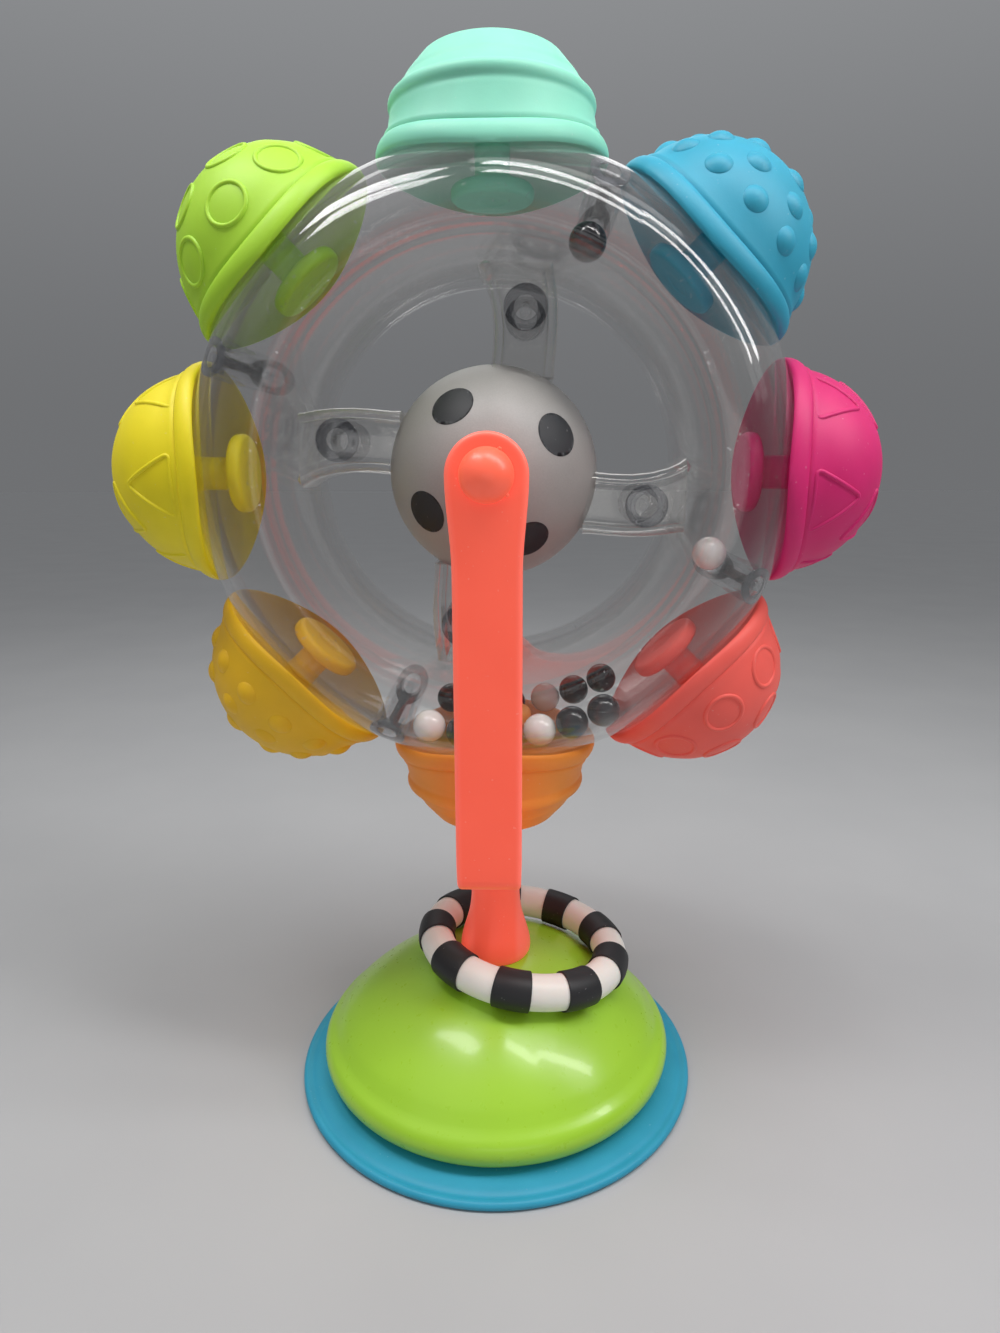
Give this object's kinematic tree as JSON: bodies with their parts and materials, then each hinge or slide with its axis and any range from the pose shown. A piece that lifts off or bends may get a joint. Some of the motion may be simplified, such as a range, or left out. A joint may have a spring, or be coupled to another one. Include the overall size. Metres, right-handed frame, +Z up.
{
  "type": "high chair tray toy",
  "caption": "High chair tray toy on a suction base: a clear bead-filled wheel edged with soft textured domes spins in a fork above a loose striped teether ring.",
  "frame": {"origin": "centre of the suction cup's underside, on the surface it stands on", "axes": "+Z up, +Y from the front arm to the rear arm along the wheel's axle, +X to the right seen from the front"},
  "size_m": [0.1606, 0.095, 0.2234],
  "materials": {
    "cup_blue": "matte soft PVC with a faint mould bloom",
    "base_lime": "glossy moulded plastic",
    "plate_lime": "plain moulded plastic",
    "screw_steel": "plain steel",
    "coral_soft": "satin soft strap plastic",
    "coral_hard": "satin moulded plastic",
    "hub_frost": "frosted translucent plastic",
    "dot_black": "fine textured black",
    "clear_shell": "clear moulded plastic",
    "mint": "matte silicone-like",
    "blue": "matte silicone-like",
    "magenta": "matte silicone-like",
    "coral": "matte silicone-like",
    "orange": "matte silicone-like",
    "amber": "matte silicone-like",
    "yellow": "matte silicone-like",
    "lime": "matte silicone-like",
    "bead_black": "glossy",
    "bead_white": "glossy",
    "ring_white": "satin",
    "ring_black": "matte"
  },
  "bodies": {
    "base": {"suction_cup": "cup_blue", "base_plate": "plate_lime", "base_shell": "base_lime", "base_screws": "screw_steel", "neck": "coral_soft", "neck_screw": "screw_steel", "fork": "coral_soft", "front_axle_pin": "coral_hard", "rear_axle_pin": "coral_hard"},
    "wheel": {"hub_front_shell": "hub_frost", "hub_rear_shell": "hub_frost", "hub_dots_front": "dot_black", "hub_dots_rear": "dot_black", "wheel_front_shell": "clear_shell", "wheel_rear_shell": "clear_shell", "mint_dome": "mint", "blue_dome": "blue", "magenta_dome": "magenta", "coral_dome": "coral", "orange_dome": "orange", "amber_dome": "amber", "yellow_dome": "yellow", "lime_dome": "lime", "mint_plug": "mint", "blue_plug": "blue", "magenta_plug": "magenta", "coral_plug": "coral", "orange_plug": "orange", "amber_plug": "amber", "yellow_plug": "yellow", "lime_plug": "lime", "white_bead_on_boss": "bead_white", "black_bead_on_wall": "bead_black"},
    "bead_pile": {"black_beads": "bead_black", "white_beads": "bead_white"},
    "teether_core": {"teether_ring_core": "ring_white"},
    "teether_sleeves": {"teether_ring_sleeves": "ring_black"}
  },
  "joints": [
    {"name": "wheel_spin", "type": "hinge", "parent": "base", "child": "wheel", "pos_m": [0, 0, 0.143], "axis": [0, -1, 0], "continuous": true},
    {"name": "bead_swing", "type": "hinge", "parent": "wheel", "child": "bead_pile", "pos_m": [0, 0, 0.143], "axis": [0, -1, 0], "range_deg": [0, 31]},
    {"name": "teether_lift", "type": "slide", "parent": "base", "child": "teether_core", "axis": [0, 0, 1], "range_m": [0, 0.016]},
    {"name": "teether_turn", "type": "hinge", "parent": "teether_core", "child": "teether_sleeves", "pos_m": [0.0068, 0.002, 0.03004], "axis": [0.1295, 0.0381, 0.9909], "continuous": true}
  ]
}
